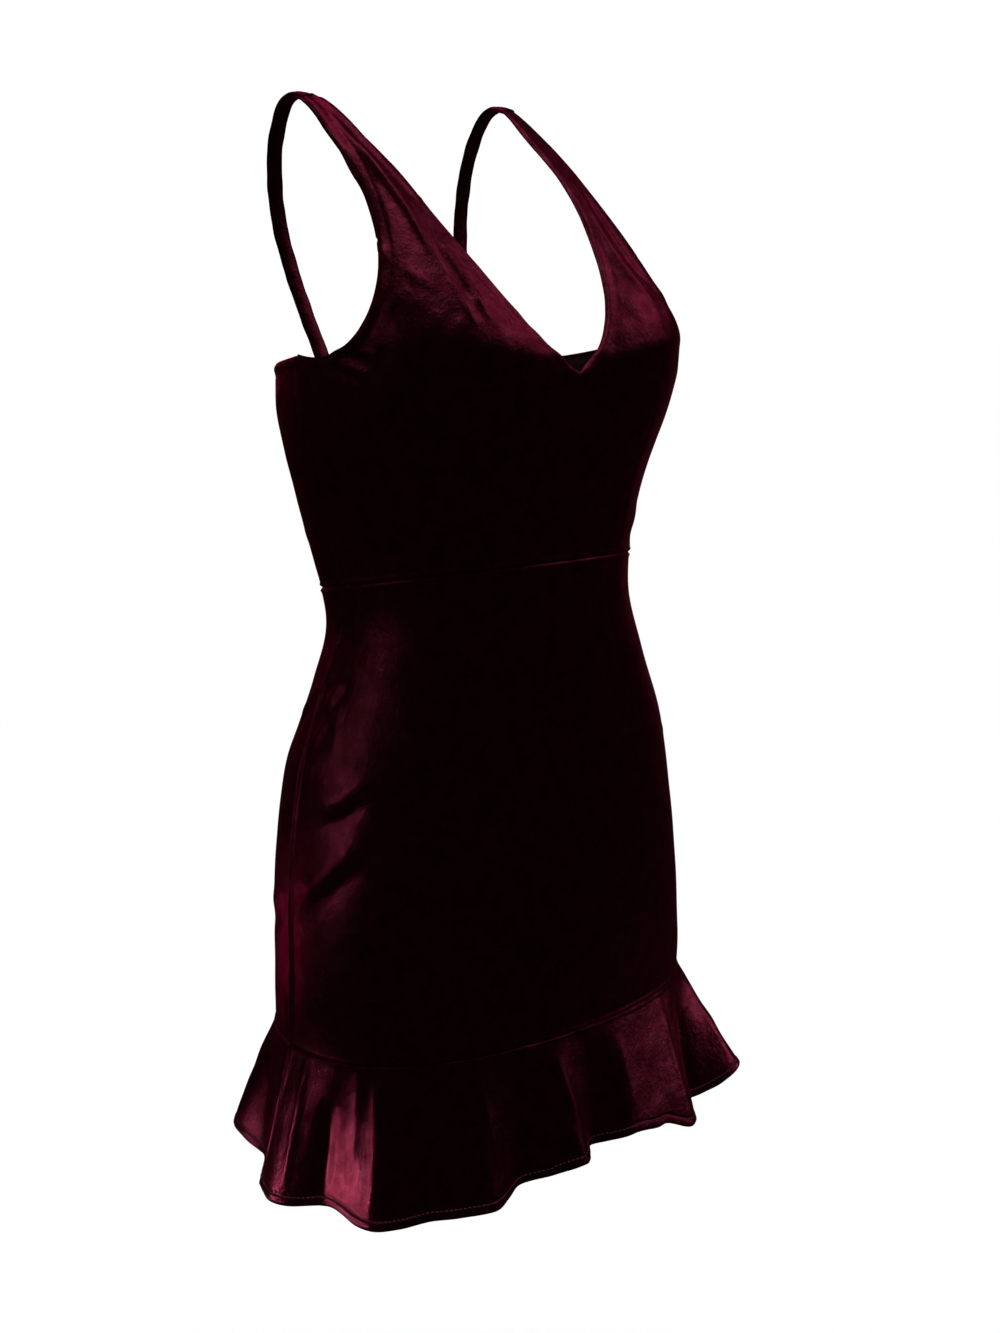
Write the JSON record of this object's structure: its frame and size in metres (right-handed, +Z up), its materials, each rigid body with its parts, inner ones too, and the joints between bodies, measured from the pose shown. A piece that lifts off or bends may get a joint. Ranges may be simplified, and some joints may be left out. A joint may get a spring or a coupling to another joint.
{
  "type": "mini dress",
  "caption": "Fitted velvet mini dress with a deep V neck, waist darts, narrow shoulder straps and a waved flounce at the hem, in its worn hollow form.",
  "frame": {"origin": "midway between the straps where they pass over the shoulders and hold the dress up", "axes": "+Z up, +X towards the wearer's left, the front faces -Y"},
  "size_m": [0.4188, 0.2836, 0.791],
  "materials": {
    "velvet": "deep wine stretch velvet, near black in shade with a wine sheen"
  },
  "bodies": {
    "root": {"front_bodice": "velvet", "back_bodice": "velvet", "strap_right": "velvet", "strap_left": "velvet", "skirt_front": "velvet", "skirt_back": "velvet", "flounce_front": "velvet", "flounce_back": "velvet"}
  },
  "joints": []
}
